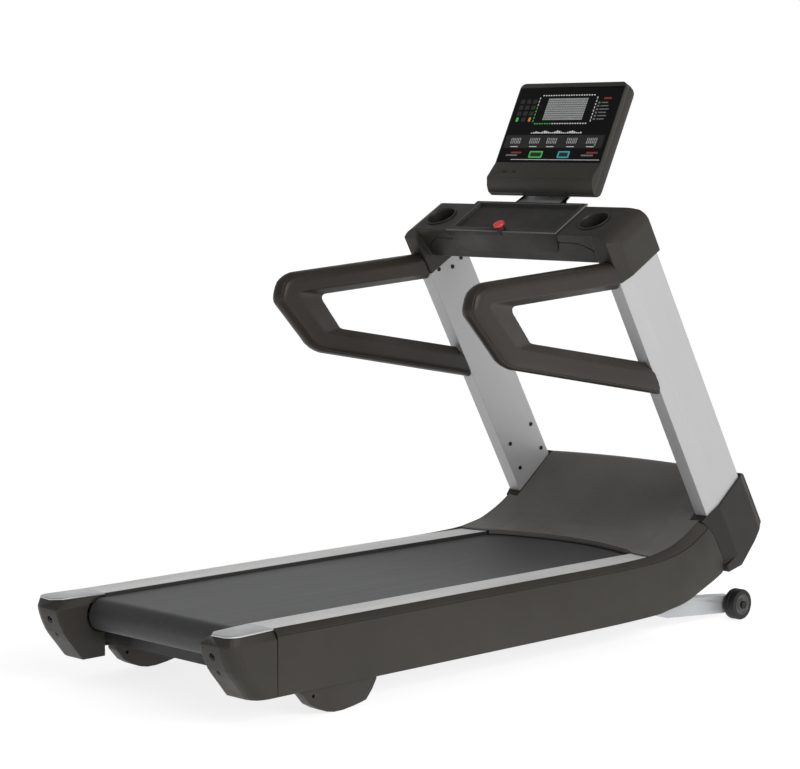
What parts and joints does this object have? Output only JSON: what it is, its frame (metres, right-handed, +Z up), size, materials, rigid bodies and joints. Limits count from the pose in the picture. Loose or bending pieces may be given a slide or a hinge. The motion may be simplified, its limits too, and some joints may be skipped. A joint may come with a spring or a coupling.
{
  "type": "treadmill",
  "caption": "Treadmill with a running belt on rollers, raked uprights, console, tilted display, loop handles and a motor-driven incline frame on wheels.",
  "frame": {"origin": "on the floor, under the middle of the machine's overall box", "axes": "+Z up; +Y forward, from the rear roller towards the console and motor hood; +X to the runner's right"},
  "size_m": [0.824, 2.1086, 1.611],
  "materials": {
    "black_steel": "satin black powder coat",
    "deck_phenolic": "phenolic-faced fibreboard",
    "black_rubber": "moulded rubber",
    "belt_pvc": "fine-textured PVC running belt",
    "bright_steel": "turned steel",
    "rail_aluminium": "brushed anodised aluminium",
    "brown_plastic": "fine moulded texture, warm dark grey",
    "black_plastic": "moulded",
    "upright_metal": "satin light grey powder coat",
    "tray_plastic": "fine moulded texture",
    "screen_glass": "black glass over a lit display",
    "neck_metal": "satin grey powder coat",
    "estop_red": "gloss red",
    "motor_paint": "black enamel",
    "board_green": "circuit board",
    "wheel_tyre": "hard rubber tyre on nylon hub"
  },
  "bodies": {
    "base": {"frame_rail_right": "black_steel", "frame_rail_left": "black_steel", "frame_crossmembers": "black_steel", "deck_board": "deck_phenolic", "deck_cushions": "black_rubber", "running_belt": "belt_pvc", "roller_axles": "bright_steel", "drive_motor_housing": "motor_paint", "motor_bracket": "black_steel", "drive_belt": "black_rubber", "motor_controller": "board_green", "foot_rail_right": "rail_aluminium", "foot_rail_left": "rail_aluminium", "rail_supports": "black_steel", "side_skirt_right": "brown_plastic", "side_skirt_left": "brown_plastic", "rear_end_cap_right": "brown_plastic", "rear_end_cap_left": "brown_plastic", "rear_cap_plate_right": "rail_aluminium", "rear_cap_plate_left": "rail_aluminium", "roller_tension_bolts": "bright_steel", "end_cap_screws": "bright_steel", "rear_foot_right": "black_rubber", "rear_foot_left": "black_rubber", "upright_right": "upright_metal", "upright_left": "upright_metal", "upright_boot_right": "brown_plastic", "upright_boot_left": "brown_plastic", "motor_hood": "brown_plastic", "hood_lip": "black_rubber", "power_inlet": "black_plastic", "belly_pan": "black_steel", "lift_pivot_bolts": "bright_steel", "lift_motor": "motor_paint", "console_upper_shell": "brown_plastic", "console_lower_shell": "brown_plastic", "cup_holder_right": "black_plastic", "cup_holder_left": "black_plastic", "accessory_tray": "tray_plastic", "estop_collar": "black_plastic", "display_front_bezel": "brown_plastic", "display_glass": "screen_glass", "display_neck": "neck_metal", "display_rear_housing": "brown_plastic", "handle_right": "brown_plastic", "handle_left": "brown_plastic", "handle_rim_right": "brown_plastic", "handle_rim_left": "brown_plastic", "upright_screws": "bright_steel"},
    "rear_roller": {"rear_roller": "bright_steel"},
    "front_roller": {"front_roller": "bright_steel"},
    "motor_rotor": {"motor_rotor": "motor_paint"},
    "lift_frame": {"lift_cross_tube": "black_steel", "lift_arm_right": "rail_aluminium", "lift_arm_left": "rail_aluminium", "wheel_axle_bolts": "bright_steel"},
    "wheel_right": {"wheel_right": "wheel_tyre"},
    "wheel_left": {"wheel_left": "wheel_tyre"},
    "lift_screw": {"lift_screw_tube": "bright_steel"},
    "estop": {"estop_button": "estop_red"}
  },
  "joints": [
    {"name": "front_roller_spin", "type": "hinge", "parent": "base", "child": "front_roller", "pos_m": [0, 0.69775, 0.1861], "axis": [1, 0, 0], "continuous": true},
    {"name": "rear_roller_spin", "type": "hinge", "parent": "base", "child": "rear_roller", "pos_m": [0, -0.90625, 0.1861], "axis": [1, 0, 0], "continuous": true},
    {"name": "motor_spin", "type": "hinge", "parent": "base", "child": "motor_rotor", "pos_m": [0, 0.85775, 0.24], "axis": [1, 0, 0], "continuous": true},
    {"name": "lift_hinge", "type": "hinge", "parent": "base", "child": "lift_frame", "pos_m": [0, 0.58275, 0.104], "axis": [-1, 0, 0], "range_deg": [0, 38]},
    {"name": "lift_screw_slide", "type": "slide", "parent": "base", "child": "lift_screw", "axis": [0, -1, 0], "range_m": [0, 0.0392]},
    {"name": "wheel_right_spin", "type": "hinge", "parent": "lift_frame", "child": "wheel_right", "pos_m": [0.364, 0.99775, 0.046], "axis": [1, 0, 0], "continuous": true},
    {"name": "wheel_left_spin", "type": "hinge", "parent": "lift_frame", "child": "wheel_left", "pos_m": [-0.364, 0.99775, 0.046], "axis": [1, 0, 0], "continuous": true},
    {"name": "estop_press", "type": "slide", "parent": "base", "child": "estop", "axis": [0, 0.4991, -0.8665], "range_m": [0, 0.005], "stiffness_N_per_m": 1200}
  ],
  "couplings": [
    {"joint": "rear_roller_spin", "follows": "front_roller_spin", "ratio": 1},
    {"joint": "motor_spin", "follows": "front_roller_spin", "ratio": 1.75},
    {"joint": "lift_screw_slide", "follows": "lift_hinge", "m_per_rad": 0.058906}
  ]
}
